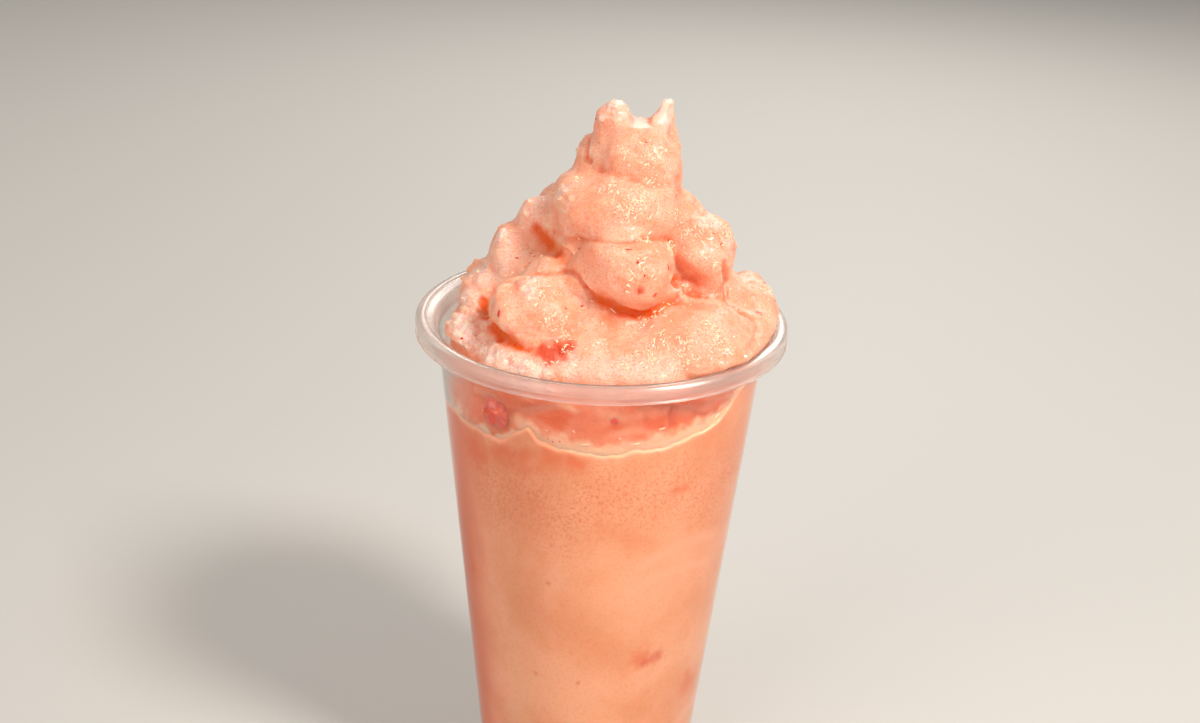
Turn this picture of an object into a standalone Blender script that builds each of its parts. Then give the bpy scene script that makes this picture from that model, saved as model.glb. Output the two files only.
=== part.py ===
"""Strawberry smoothie heaped in a clear plastic cup, in metres, +Z up, standing on the cup's foot at the origin.

The cup is one thin turned wall with a rolled rim and a foot ring. The smoothie is one solid: the drink that
fills the cup, and the heap of soft folds above it that ends in two icy tips. The heap stands a little clear of
the wall from the contact line up to the rim.
"""

import math

import bmesh
import bpy
from mathutils import Euler, Matrix, Vector, noise

MM = 0.001

# Cup, in millimetres. WALL_LEVELS are shares of its height, and BEND_SHARE is how far a bend's middle point is cut
CUP_HEIGHT = 145.0
RIM_RADIUS = 47.5
WALL_RADIUS_AT_RIM = 42.35
WALL_TAPER = 0.1007
WALL_THICKNESS = 0.75
RIM_ROLL_RADIUS = 2.0
RIM_SKIRT_HEIGHT = 4.5
SKIRT_LIP = 0.3
FLANGE_INNER_RADIUS = 42.9
FLANGE_DROP = 1.5
FLANGE_TURN_IN = (0.7, 0.8)
FLANGE_ROOT = 0.3
NECK_DROP = 4.0
STACKING_RING_DROP = 10.0
STACKING_STEP = 0.35
STACKING_STEP_SPAN = (0.1, 0.4)
WALL_LEVELS = (0.6, 0.3)
FOOT_WIDTH = 2.4
FOOT_EDGE_RADIUS = 0.9
FOOT_SLOPE = 0.8
BASE_RECESS = 3.0
BASE_THICKNESS = 0.9
FLOOR_FILLET = 2.0
BEND_SHARE = 0.3
CUP_SEGMENTS = 72

# Drink, in millimetres, with its gap to the wall. Above the contact line the gap widens up to the rim, and
# DOME_BEND places the dome's middle point as shares of the shoulder's radius and of the dome's rise
GAP = 0.3
CONTACT_DROP = 20.0
GAP_BELOW_RIM = 1.6
GAP_BELOW_RIM_DROP = 12.0
GAP_AT_RIM = 3.2
SHOULDER_RISE = 3.0
SHOULDER_RADIUS = 35.0
DOME_RISE = 12.0
DOME_BEND = (0.6, 0.75)

# Heap, in millimetres. From LEAN_START_DROP below the rim's top upwards it may lean out over the flange
FOLD_DETAIL = 3
SKIN_VOXEL = 1.4
SOFTENING_ROUNDS = 5
RIPPLES = ((9.0, 1.3), (4.0, 0.5))
HEAP_TRIANGLES = 8600
LEAST_CLEARANCE = 0.7
LEAN_START_DROP = 1.4
LEAN_SLOPE = 2.0

# Each fold of the heap: centre from the cup's axis and the rim's top, half sizes, turn about Z, lean about Y
FOLDS = {
    "shoulder": ((1, 2, 2), (30, 29, 22), 0, 0),
    "waist": ((3, 2, 20), (18, 19, 18), 0, 0),
    "neck": ((5, 2, 34), (11, 13, 13), 0, 0),
    "tip": ((6.8, 0, 41), (11.6, 11.5, 11), 0, 0),
    "tip_left": ((1.6, 1, 48.6), (5.8, 7, 7.2), 0, 6),
    "tip_bulge": ((12.6, -1.5, 38.5), (6.4, 8, 7.5), 0, 0),
    "flap": ((-4.2, 4, 40.5), (4.2, 6, 5), 0, 20),
    "middle": ((3, -5, 30), (16.2, 15, 10.5), 0, -6),
    "middle_left": ((-7.8, -2, 31.6), (5.8, 8, 6.6), 0, 0),
    "tongue": ((5.5, -18.5, 20), (11.6, 11, 9), 0, 15),
    "tongue_low": ((9, -21, 16.5), (7.5, 8, 6.5), 0, 0),
    "right_crown": ((18.5, -3, 26.5), (6.5, 8, 6.5), 0, 0),
    "right": ((24.3, -5, 18.5), (8, 10, 10.5), 0, 0),
    "right_knob": ((29.5, 0, 18), (4, 5, 4.5), 0, 0),
    "right_under": ((27, 3, 3), (10.5, 13, 10), 0, 0),
    "right_back": ((37.5, 9, 0), (8, 12, 8.8), 0, 0),
    "right_edge": ((35.5, -9, -4), (7.6, 14, 8.5), 0, 0),
    "right_rim": ((38.5, 1, -1.5), (7, 12, 7), 0, 0),
    "right_front_edge": ((27, -26, -5), (11, 11, 9.5), 0, 0),
    "right_front": ((22, -20, -1), (16.5, 17, 12.5), 20, 0),
    "left_front": ((-15.5, -19, 7.5), (12.4, 12, 8.6), -20, 0),
    "left_behind": ((-11, -12, 14), (8, 7, 6), 0, 0),
    "left_inner": ((-4.5, -15, 11.5), (8, 8, 7), 0, 0),
    "left_upper": ((-16, 5, 22), (6.8, 8, 6.6), 0, 0),
    "left_middle": ((-22.3, 5, 13.5), (7.6, 10, 8), 0, 0),
    "left_lower": ((-28.8, 4, 1.5), (8.6, 13, 9.5), 0, 0),
    "left_edge": ((-31.5, -14, -4), (7.4, 10, 8.5), -25, 0),
    "front_edge": ((-11, -28, -5), (17, 11, 10), 0, 0),
    "front_right_edge": ((9, -28, -5), (17, 11, 10), 0, 0),
    "back_neck": ((5, 8, 36), (10, 8, 7.5), 0, 0),
    "back_upper": ((6, 14, 26), (14, 9, 8), -15, 10),
    "back_upper_left": ((-10, 13, 22), (9, 9, 8), 30, 0),
    "back_left": ((-16, 20, 10), (13, 9, 9), 35, 0),
    "back_right": ((16, 21, 11), (14, 9, 9), -30, 0),
    "back_low": ((0, 29, -2), (20, 9, 10), 0, 0),
    "back_low_left": ((-25, 22, -5), (9, 13, 10), 40, 0),
    "back_low_right": ((26, 22, -3), (9, 13, 10), -40, 0),
}

# The pale icy splinter beside the tip, a row of balls from its foot to its head
SPLINTER_FOOT = (12.4, 1.0, 43.0)
SPLINTER_HEAD = (14.0, 1.0, 54.6)
SPLINTER_RADII = (5.2, 2.0)
SPLINTER_BALLS = 9


def clear_scene():
    """Empties the file that the script runs in."""
    for thing in list(bpy.data.objects):
        bpy.data.objects.remove(thing, do_unlink=True)


def make_collection(name):
    """A new collection in the scene."""
    collection = bpy.data.collections.new(name)
    bpy.context.scene.collection.children.link(collection)
    return collection


def make_material(name, colour, roughness):
    """A Principled material with the given colour and roughness."""
    material = bpy.data.materials.new(name)
    material.use_nodes = True
    shader = material.node_tree.nodes["Principled BSDF"]
    shader.inputs["Base Color"].default_value = (*colour, 1)
    shader.inputs["Roughness"].default_value = roughness
    shader.inputs["Metallic"].default_value = 0
    return material


def wall_outer(z):
    """Outer radius of the cup's wall at height z, in millimetres."""
    above_ring = z > CUP_HEIGHT - STACKING_RING_DROP
    return WALL_RADIUS_AT_RIM - WALL_TAPER * (CUP_HEIGHT - z) + (STACKING_STEP if above_ring else 0)


def wall_inner(z):
    """Inner radius of the cup's wall at height z, in millimetres."""
    return wall_outer(z) - WALL_THICKNESS


def arc(centre, radius, start, end, steps):
    """Points of an arc from one angle to another, in degrees."""
    angles = [math.radians(start + (end - start) * i / steps) for i in range(steps + 1)]
    return [(centre[0] + radius * math.cos(a), centre[1] + radius * math.sin(a)) for a in angles]


def turned(name, profile, segments):
    """A profile of (radius, height) points in millimetres, with both ends on the Z axis, turned round it."""
    shape = bmesh.new()
    points = [shape.verts.new((r * MM, 0, z * MM)) for r, z in profile]
    for a, b in zip(points, points[1:]):
        shape.edges.new((a, b))
    mesh = bpy.data.meshes.new(name)
    shape.to_mesh(mesh)
    shape.free()
    thing = bpy.data.objects.new(name, mesh)
    screw = thing.modifiers.new("Turn", "SCREW")
    screw.steps = segments
    screw.render_steps = segments
    screw.use_merge_vertices = True
    screw.merge_threshold = 0.00001
    return thing


def evaluated_mesh(thing):
    """The object's mesh with its modifiers applied."""
    bpy.context.view_layer.update()
    return bpy.data.meshes.new_from_object(thing.evaluated_get(bpy.context.evaluated_depsgraph_get()))


def rim_profile(top):
    """The rim from its flange's inner edge, over the roll, round the skirt and back under the flange."""
    roll = (RIM_RADIUS - RIM_ROLL_RADIUS, top - RIM_ROLL_RADIUS)
    skirt_end = top - RIM_SKIRT_HEIGHT
    turn_in, turn_down = FLANGE_TURN_IN
    points = [(FLANGE_INNER_RADIUS - turn_in, top - FLANGE_DROP - turn_down)]
    points += [(FLANGE_INNER_RADIUS, top - FLANGE_DROP)]
    points += arc(roll, RIM_ROLL_RADIUS, 90, 0, 4)
    points += [(RIM_RADIUS - SKIRT_LIP / 3, skirt_end + 3 * SKIRT_LIP), (RIM_RADIUS, skirt_end + SKIRT_LIP)]
    points += [(RIM_RADIUS - SKIRT_LIP, skirt_end), (RIM_RADIUS - WALL_THICKNESS, skirt_end + SKIRT_LIP)]
    points += arc(roll, RIM_ROLL_RADIUS - WALL_THICKNESS, 0, 90, 3)
    return points + [(FLANGE_INNER_RADIUS + FLANGE_ROOT, top - FLANGE_DROP - WALL_THICKNESS)]


def cup_profile():
    """The cup's outline: from the floor's middle up the inner side, over the rim and down the outer side."""
    top = CUP_HEIGHT
    floor = BASE_RECESS + BASE_THICKNESS
    ring = top - STACKING_RING_DROP
    over_step, under_step = STACKING_STEP_SPAN
    levels = (top - NECK_DROP, ring + over_step, ring - under_step, *[top * share for share in WALL_LEVELS])
    foot = wall_outer(0)
    bend = BEND_SHARE * FLOOR_FILLET
    edge = BEND_SHARE * FOOT_EDGE_RADIUS

    points = [(0, floor), (wall_inner(floor) - FLOOR_FILLET, floor), (wall_inner(floor) - bend, floor + bend)]
    points += [(wall_inner(z), z) for z in (floor + FLOOR_FILLET, *reversed(levels))]
    points += rim_profile(top)
    points += [(wall_outer(z), z) for z in (*levels, FOOT_EDGE_RADIUS)]
    points += [(foot - edge, edge), (foot - FOOT_EDGE_RADIUS, 0), (foot - FOOT_WIDTH, 0)]
    return points + [(foot - FOOT_WIDTH - FOOT_SLOPE, BASE_RECESS), (0, BASE_RECESS)]


def build_cup(collection):
    """The turned wall with its rolled rim, stacking ring, raised base and foot ring."""
    cup = turned("cup", cup_profile(), CUP_SEGMENTS)
    cup.data.materials.append(make_material("clear_plastic", (0.86, 0.86, 0.85), 0.22))
    collection.objects.link(cup)
    return cup


def drink_profile():
    """The drink's outline: over its low dome, down beside the wall to the contact line and on to the floor."""
    top = CUP_HEIGHT
    floor = BASE_RECESS + BASE_THICKNESS
    contact = top - CONTACT_DROP
    narrowing = top - GAP_BELOW_RIM_DROP
    levels = (contact, *[top * share for share in WALL_LEVELS], floor + FLOOR_FILLET)
    bend = BEND_SHARE * FLOOR_FILLET
    beside_rim = WALL_RADIUS_AT_RIM - WALL_THICKNESS - GAP_AT_RIM

    points = [(0, top + DOME_RISE), (SHOULDER_RADIUS * DOME_BEND[0], top + DOME_RISE * DOME_BEND[1])]
    points += [(SHOULDER_RADIUS, top + SHOULDER_RISE), (beside_rim, top - SHOULDER_RISE)]
    points += [(wall_inner(narrowing) - GAP_BELOW_RIM, narrowing)]
    points += [(wall_inner(z) - GAP, z) for z in levels]
    points += [(wall_inner(floor) - bend - GAP, floor + bend + GAP)]
    return points + [(wall_inner(floor) - FLOOR_FILLET, floor + GAP), (0, floor + GAP)]


def add_ball(shape, centre, half_sizes, turn=0, lean=0):
    """One fold as a stretched ball, in millimetres from the cup's axis and the rim's top."""
    place = Vector((centre[0], centre[1], centre[2] + CUP_HEIGHT)) * MM
    spin = Euler((0, math.radians(lean), math.radians(turn))).to_matrix().to_4x4()
    size = Matrix.Diagonal((*[s * MM for s in half_sizes], 1))
    where = Matrix.Translation(place) @ spin @ size
    bmesh.ops.create_icosphere(shape, subdivisions=FOLD_DETAIL, radius=1, matrix=where)


def add_splinter(shape):
    """The icy splinter, a row of balls that shrink from foot to head."""
    for i in range(SPLINTER_BALLS):
        t = i / (SPLINTER_BALLS - 1)
        radius = SPLINTER_RADII[0] + (SPLINTER_RADII[1] - SPLINTER_RADII[0]) * t
        add_ball(shape, Vector(SPLINTER_FOOT).lerp(Vector(SPLINTER_HEAD), t), (radius, radius, radius))


def ripple(mesh):
    """Moves the heap's skin in and out along its normals, as uneven as blended ice."""
    normals = [point.normal.copy() for point in mesh.vertices]
    for point, normal in zip(mesh.vertices, normals):
        moves = [noise.noise(point.co / (size * MM)) * height for size, height in RIPPLES]
        point.co += normal * sum(moves) * MM


def keep_in_cup(mesh):
    """Draws in the points that would stand in the wall or the flange, which the heap may lean over above it."""
    for point in mesh.vertices:
        z = point.co.z / MM
        most = (wall_inner(min(z, CUP_HEIGHT)) - LEAST_CLEARANCE) * MM
        most += max(0, z - CUP_HEIGHT + LEAN_START_DROP) * LEAN_SLOPE * MM
        reach = math.hypot(point.co.x, point.co.y)
        if reach > most:
            point.co.x *= most / reach
            point.co.y *= most / reach


def build_heap():
    """The heap of folds, blended into one skin whose lower part lies inside the drink."""
    shape = bmesh.new()
    for fold in FOLDS.values():
        add_ball(shape, *fold)
    add_splinter(shape)
    mesh = bpy.data.meshes.new("heap")
    shape.to_mesh(mesh)
    shape.free()
    heap = bpy.data.objects.new("heap", mesh)
    bpy.context.scene.collection.objects.link(heap)

    remesh = heap.modifiers.new("Skin", "REMESH")
    remesh.mode = "VOXEL"
    remesh.voxel_size = SKIN_VOXEL * MM
    soften = heap.modifiers.new("Soften", "SMOOTH")
    soften.iterations = SOFTENING_ROUNDS
    skin = evaluated_mesh(heap)
    ripple(skin)
    keep_in_cup(skin)
    heap.modifiers.clear()
    heap.data = skin
    thin = heap.modifiers.new("Thin", "DECIMATE")
    thin.ratio = HEAP_TRIANGLES / (2 * len(skin.polygons))
    heap.data = evaluated_mesh(heap)
    heap.modifiers.clear()
    return heap


def build_smoothie(collection):
    """The drink joined with the heap above it into one solid."""
    smoothie = turned("smoothie", drink_profile(), CUP_SEGMENTS)
    smoothie.data.materials.append(make_material("smoothie", (0.93, 0.42, 0.28), 0.4))
    collection.objects.link(smoothie)
    heap = build_heap()
    join = smoothie.modifiers.new("Join heap", "BOOLEAN")
    join.operation = "UNION"
    join.object = heap
    solid = evaluated_mesh(smoothie)
    smoothie.modifiers.clear()
    smoothie.data = solid
    bpy.data.objects.remove(heap, do_unlink=True)
    return smoothie


clear_scene()
parts = make_collection("strawberry_smoothie")
build_cup(parts)
build_smoothie(parts)
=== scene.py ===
# A cup of strawberry smoothie: the looks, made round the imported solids. Metres, +Z up, the shown side to -Y.
import math
import random

import bmesh
import bpy
import numpy as np
from mathutils import Matrix, Vector, noise
from mathutils.bvhtree import BVHTree


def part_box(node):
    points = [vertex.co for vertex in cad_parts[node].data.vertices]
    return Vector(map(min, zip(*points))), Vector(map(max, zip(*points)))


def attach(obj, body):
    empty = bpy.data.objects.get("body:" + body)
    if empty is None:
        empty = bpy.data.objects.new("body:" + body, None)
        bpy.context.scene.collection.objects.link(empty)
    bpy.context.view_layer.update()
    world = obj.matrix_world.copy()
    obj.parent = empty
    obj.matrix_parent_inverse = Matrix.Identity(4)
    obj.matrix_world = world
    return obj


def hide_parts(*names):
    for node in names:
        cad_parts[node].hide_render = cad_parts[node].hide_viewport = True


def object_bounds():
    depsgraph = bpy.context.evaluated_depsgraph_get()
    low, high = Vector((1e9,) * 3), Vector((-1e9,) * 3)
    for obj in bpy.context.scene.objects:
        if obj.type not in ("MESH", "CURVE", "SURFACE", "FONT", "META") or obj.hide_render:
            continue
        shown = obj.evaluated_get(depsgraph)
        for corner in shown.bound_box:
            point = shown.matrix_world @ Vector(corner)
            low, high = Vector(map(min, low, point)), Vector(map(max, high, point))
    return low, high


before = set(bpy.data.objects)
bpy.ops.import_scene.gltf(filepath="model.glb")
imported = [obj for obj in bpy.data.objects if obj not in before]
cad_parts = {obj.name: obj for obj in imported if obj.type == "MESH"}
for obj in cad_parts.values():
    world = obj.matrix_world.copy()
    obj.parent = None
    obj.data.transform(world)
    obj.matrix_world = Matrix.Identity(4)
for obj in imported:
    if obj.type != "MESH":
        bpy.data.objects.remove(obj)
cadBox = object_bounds()
scene = bpy.context.scene
scene.view_settings.view_transform = "Standard"
mm = 0.001
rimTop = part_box("cup")[1].z
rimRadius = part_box("cup")[1].x

# The cup's own sizes, as the solids have them
cup = {
    "wallRadius": 42.35 * mm,  # outside, carried on up to the rim's height
    "taper": 0.1007,
    "thickness": 0.75 * mm,
    "ringDrop": 10 * mm,  # the stacking ring, below the rim's top
    "ringStep": 0.35 * mm,
    "flangeRadius": 42.9 * mm,
    "flangeDrop": 1.5 * mm,
    "skirt": 4.5 * mm,
    "recess": 3 * mm,
    "floor": 3.9 * mm,
    "segments": 256,
}

# The photograph's frame in pixels, and where it looks from
photo = {
    "width": 1200,
    "height": 723,
    "focal": 1600,
    "distance": 0.409,  # from the middle of the rim's top
    "pitch": 21.35,  # degrees, down
    "turn": -1.76,
    "roll": -2.29,
}


def cameraAxes():
    pitch = math.radians(photo["pitch"])
    forward = Vector((0, math.cos(pitch), -math.sin(pitch)))
    right = Vector((1, 0, 0))
    place = Vector((0, 0, rimTop)) - forward * photo["distance"]
    turn = Matrix.Rotation(math.radians(photo["turn"]), 3, right)
    up = turn @ right.cross(forward)
    forward = turn @ forward
    roll = Matrix.Rotation(math.radians(photo["roll"]), 3, forward)
    return place, roll @ right, roll @ up, forward


def pixelRay(px, py):
    place, right, up, forward = cameraAxes()
    across = (px - photo["width"] / 2) / photo["focal"]
    along = (photo["height"] / 2 - py) / photo["focal"]
    return place, (forward + right * across + up * along).normalized()


def makeCamera():
    place, right, up, forward = cameraAxes()
    lens = bpy.data.cameras.new("camera")
    lens.sensor_width = 36
    lens.lens = 36 * photo["focal"] / photo["width"]
    camera = bpy.data.objects.new("camera", lens)
    stand = Matrix((right, up, -forward)).transposed().to_4x4()
    stand.translation = place
    camera.matrix_world = stand
    scene.collection.objects.link(camera)
    scene.camera = camera


# Small helpers for colours, nodes and meshes
def tint(red, green, blue):
    # An sRGB colour of 0 to 255 as the linear one that a socket takes
    parts = [c / 255 for c in (red, green, blue)]
    return (*[c / 12.92 if c <= 0.04045 else ((c + 0.055) / 1.055) ** 2.4 for c in parts], 1)


def addNode(tree, kind, inputs=None, **settings):
    node = tree.nodes.new(kind)
    for name, value in settings.items():
        setattr(node, name, value)
    for name, value in (inputs or {}).items():
        if isinstance(value, bpy.types.NodeSocket):
            tree.links.new(value, node.inputs[name])
        else:
            node.inputs[name].default_value = value
    return node


def mixColours(tree, amount, first, second):
    mix = addNode(tree, "ShaderNodeMix", data_type="RGBA")
    for slot, value in ((0, amount), (6, first), (7, second)):
        if isinstance(value, bpy.types.NodeSocket):
            tree.links.new(value, mix.inputs[slot])
        else:
            mix.inputs[slot].default_value = value
    return mix.outputs[2]


def remap(tree, value, low, high, outLow=0.0, outHigh=1.0):
    # The value's span from low to high, turned softly into another one
    span = {"Value": value, "From Min": low, "From Max": high, "To Min": outLow, "To Max": outHigh}
    return addNode(tree, "ShaderNodeMapRange", span, interpolation_type="SMOOTHSTEP").outputs[0]


def combine(tree, kind, first, second):
    return addNode(tree, "ShaderNodeMath", {0: first, 1: second}, operation=kind).outputs[0]


def noiseIn(tree, where, scale, detail):
    return addNode(tree, "ShaderNodeTexNoise", {"Vector": where, "Scale": scale, "Detail": detail})


def setBump(tree, shader, height, strength, distance):
    bump = addNode(tree, "ShaderNodeBump", {"Height": height, "Strength": strength, "Distance": distance})
    tree.links.new(bump.outputs[0], shader.inputs["Normal"])


def painted(tree, name):
    # A mask that is painted on the mesh's points
    return addNode(tree, "ShaderNodeAttribute", attribute_name=name).outputs["Fac"]


def startMaterial(name):
    material = bpy.data.materials.new(name)
    material.use_nodes = True
    tree = material.node_tree
    shader = tree.nodes["Principled BSDF"]
    return material, tree, shader


def newGroup(name, inputs, outputs):
    group = bpy.data.node_groups.new(name, "ShaderNodeTree")
    for label, value in inputs.items():
        socket = group.interface.new_socket(label, in_out="INPUT", socket_type="NodeSocketFloat")
        socket.default_value = value
    for label in outputs:
        group.interface.new_socket(label, in_out="OUTPUT", socket_type="NodeSocketFloat")
    return group, group.nodes.new("NodeGroupInput"), group.nodes.new("NodeGroupOutput")


def meshOf(shape, name):
    mesh = bpy.data.meshes.new(name)
    shape.to_mesh(mesh)
    shape.free()
    return mesh


def newPiece(name, mesh, materials, smooth=True):
    piece = bpy.data.objects.new(name, mesh)
    scene.collection.objects.link(piece)
    for material in materials:
        mesh.materials.append(material)
    mesh.polygons.foreach_set("use_smooth", [smooth] * len(mesh.polygons))
    return piece


def standFor(piece, node):
    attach(piece, "root")
    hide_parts(node)


def evaluated(piece):
    bpy.context.view_layer.update()
    return bpy.data.meshes.new_from_object(piece.evaluated_get(bpy.context.evaluated_depsgraph_get()))


def paint(mesh, name, values):
    layer = mesh.attributes.new(name, "FLOAT", "POINT")
    layer.data.foreach_set("value", np.asarray(values, dtype=np.float32))


def points(mesh):
    flat = np.empty(len(mesh.vertices) * 3)
    mesh.vertices.foreach_get("co", flat)
    return flat.reshape(-1, 3)


def smoothstep(values, low, high):
    t = np.clip((values - low) / (high - low), 0, 1)
    return t * t * (3 - 2 * t)


def between(values, start, full, falling, end):
    # 1 in the middle of a range, softly falling to 0 at both ends
    return smoothstep(values, start, full) * (1 - smoothstep(values, falling, end))


def azimuthOf(places):
    # Degrees round the cup from the shown side, to the right
    return np.degrees(np.arctan2(places[:, 0], -places[:, 1]))


def noiseAt(places, size):
    # Smooth noise of a size in mm
    return np.array([noise.noise(Vector(p) / (size * mm)) for p in places])


def randomWay(draw):
    return Vector((draw.gauss(0, 1), draw.gauss(0, 1), draw.gauss(0, 1)))


def wallOuter(z):
    step = cup["ringStep"] if z > rimTop - cup["ringDrop"] else 0
    return cup["wallRadius"] - cup["taper"] * (rimTop - z) + step


def wallInner(z):
    return wallOuter(z) - cup["thickness"]


# Effects that several materials share
def makeIceGrain():
    # Mottle of the blend at two sizes, and a fine relief of ice grains
    sizes = {"Mottle Size": 9.0, "Grain Size": 0.9, "Bubble Size": 1.6}
    group, given, out = newGroup("iceGrain", sizes, ("Mottle", "Grain", "Bubbles"))
    where = addNode(group, "ShaderNodeTexCoord").outputs["Object"]
    scales = {}
    for label in sizes:
        scales[label] = combine(group, "DIVIDE", 1000.0, given.outputs[label])
    mottle = noiseIn(group, where, scales["Mottle Size"], 3.0)
    mottle.inputs["Roughness"].default_value = 0.6
    mottle.inputs["Distortion"].default_value = 0.2
    grain = noiseIn(group, where, scales["Grain Size"], 3.0)
    cells = addNode(group, "ShaderNodeTexVoronoi", {"Vector": where, "Scale": scales["Bubble Size"]})
    cells.inputs["Randomness"].default_value = 1.0
    bubbles = remap(group, cells.outputs["Distance"], 0.16, 0.24, 1.0, 0.0)
    group.links.new(remap(group, mottle.outputs["Fac"], 0.34, 0.66), out.inputs["Mottle"])
    group.links.new(grain.outputs["Fac"], out.inputs["Grain"])
    group.links.new(bubbles, out.inputs["Bubbles"])
    return group


def placeGrain(tree, iceGrain, sizes):
    node = addNode(tree, "ShaderNodeGroup", node_tree=iceGrain)
    for name, size in zip(("Mottle Size", "Grain Size", "Bubble Size"), sizes):
        node.inputs[name].default_value = size
    return [node.outputs[name] for name in ("Mottle", "Grain", "Bubbles")]


# Materials
plastic = {
    "wallColour": tint(242, 238, 234),
    # The rim's milky colour is tinted a little pink: painted light, for the drink's glow through the rim
    "rimColour": tint(246, 233, 226),
    "wallRoughness": 0.08,
    "rimRoughness": 0.18,
    "wallClear": 0.99,
    "rimClear": 0.89,
    "lightThrough": 0.92,
    "bend": 1.49,  # index of refraction
    "wallFlow": 0.12,  # strength of its faint waves
    "rimFlow": 0.03,
    "hazeScale": 60.0,
    "flowScale": 110.0,
    "flowHeight": 0.4 * mm,
}


def makePlastic(name, colour, roughness, clear, flowing):
    material, tree, shader = startMaterial(name)
    shader.inputs["Base Color"].default_value = colour
    shader.inputs["IOR"].default_value = plastic["bend"]
    shader.inputs["Transmission Weight"].default_value = clear
    where = addNode(tree, "ShaderNodeTexCoord").outputs["Object"]
    haze = noiseIn(tree, where, plastic["hazeScale"], 4.0).outputs["Fac"]
    tree.links.new(remap(tree, haze, 0.3, 0.7, roughness * 0.7, roughness * 1.4), shader.inputs["Roughness"])
    flow = noiseIn(tree, where, plastic["flowScale"], 1.0).outputs["Fac"]
    setBump(tree, shader, flow, flowing, plastic["flowHeight"])
    rays = addNode(tree, "ShaderNodeLightPath").outputs["Is Shadow Ray"]
    passing = combine(tree, "MULTIPLY", rays, plastic["lightThrough"])
    letThrough = addNode(tree, "ShaderNodeBsdfTransparent", {"Color": colour}).outputs[0]
    mix = addNode(tree, "ShaderNodeMixShader", {0: passing, 1: shader.outputs[0], 2: letThrough})
    tree.links.new(mix.outputs[0], tree.nodes["Material Output"].inputs["Surface"])
    return material


blend = {
    "pale": tint(240, 214, 200),
    # frosty: the pale colour of crushed ice, which also lifts crumbly parts that lie in shade: partly painted
    # light
    "frosty": tint(250, 215, 200),
    "light": tint(247, 191, 164),
    "body": tint(243, 166, 133),
    "grain": tint(238, 136, 90),
    "side": tint(231, 165, 122),
    "sideLight": tint(240, 186, 149),
    "sideGrain": tint(214, 120, 72),
    # sideDeep: the deeper colour of the patches, of the painted shade at the left and towards the top
    "sideDeep": tint(226, 112, 44),
    "wisp": tint(246, 196, 164),
    # deep: painted shade in the heap's hollows and creases, and also the colour of the pits and holes
    "deep": tint(236, 102, 24),
    # inCupShade: painted shade of the skin below the rim, inside the cup
    "inCupShade": tint(232, 100, 0),
    "berry": tint(206, 62, 2),
    "cream": tint(246, 184, 152),
    "film": tint(252, 196, 166),
    "spread": (1.0, 0.45, 0.28),  # how far red, green and blue go inside
    "heapReach": 4.5 * mm,
    "wallReach": 1.6 * mm,
    "coarse": (6.0, 1.1, 1.3),  # sizes of mottle, grain and bubbles in mm
    "close": (2.0, 0.42, 0.7),
    "drinkGrain": (26.0, 0.75, 1.2),
    "grainShare": 0.75,
    "pits": 0.25,
    "heapRelief": 0.55 * mm,
    "drinkRelief": 0.3 * mm,
    "speckle": 0.65,
    "holes": 0.4,
}


def setInside(shader, reach):
    shader.inputs["Subsurface Weight"].default_value = 1.0
    shader.inputs["Subsurface Radius"].default_value = blend["spread"]
    shader.inputs["Subsurface Scale"].default_value = reach


def makeHeapMaterial(iceGrain):
    material, tree, shader = startMaterial("blendedIce")
    mottle, grain, bubbles = placeGrain(tree, iceGrain, blend["coarse"])
    _, fineGrain, fineBubbles = placeGrain(tree, iceGrain, blend["close"])
    frosty = painted(tree, "frosty")
    colour = mixColours(tree, mottle, blend["body"], blend["light"])
    colour = mixColours(tree, frosty, colour, blend["frosty"])
    grainy = remap(tree, fineGrain, 0.42, 0.75, 0.0, blend["grainShare"])
    colour = mixColours(tree, grainy, colour, blend["grain"])
    # Painted shade: the colour deepens in the hollows and creases
    colour = mixColours(tree, painted(tree, "creaseShade"), colour, blend["deep"])
    # Painted shade on the skin inside the cup, below the rim
    colour = mixColours(tree, painted(tree, "inCupShade"), colour, blend["inCupShade"])
    pits = combine(tree, "MULTIPLY", bubbles, blend["pits"])
    colour = mixColours(tree, pits, colour, blend["deep"])
    colour = mixColours(tree, painted(tree, "ice"), colour, blend["pale"])
    colour = mixColours(tree, painted(tree, "cream"), colour, blend["film"])
    patchy = combine(tree, "MULTIPLY", painted(tree, "berry"), remap(tree, grain, 0.35, 0.6, 0.85, 1.0))
    colour = mixColours(tree, patchy, colour, blend["berry"])
    tree.links.new(colour, shader.inputs["Base Color"])
    tree.links.new(remap(tree, grain, 0.35, 0.65, 0.34, 0.55), shader.inputs["Roughness"])
    relief = combine(tree, "ADD", grain, combine(tree, "MULTIPLY", fineGrain, 0.55))
    relief = combine(tree, "SUBTRACT", relief, combine(tree, "MULTIPLY", fineBubbles, 0.25))
    rougher = combine(tree, "ADD", combine(tree, "MULTIPLY", frosty, 0.9), 0.6)
    setBump(tree, shader, combine(tree, "MULTIPLY", relief, rougher), 0.7, blend["heapRelief"])
    shader.inputs["Coat Weight"].default_value = 0.15
    shader.inputs["Coat Roughness"].default_value = 0.12
    setInside(shader, blend["heapReach"])
    return material


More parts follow.
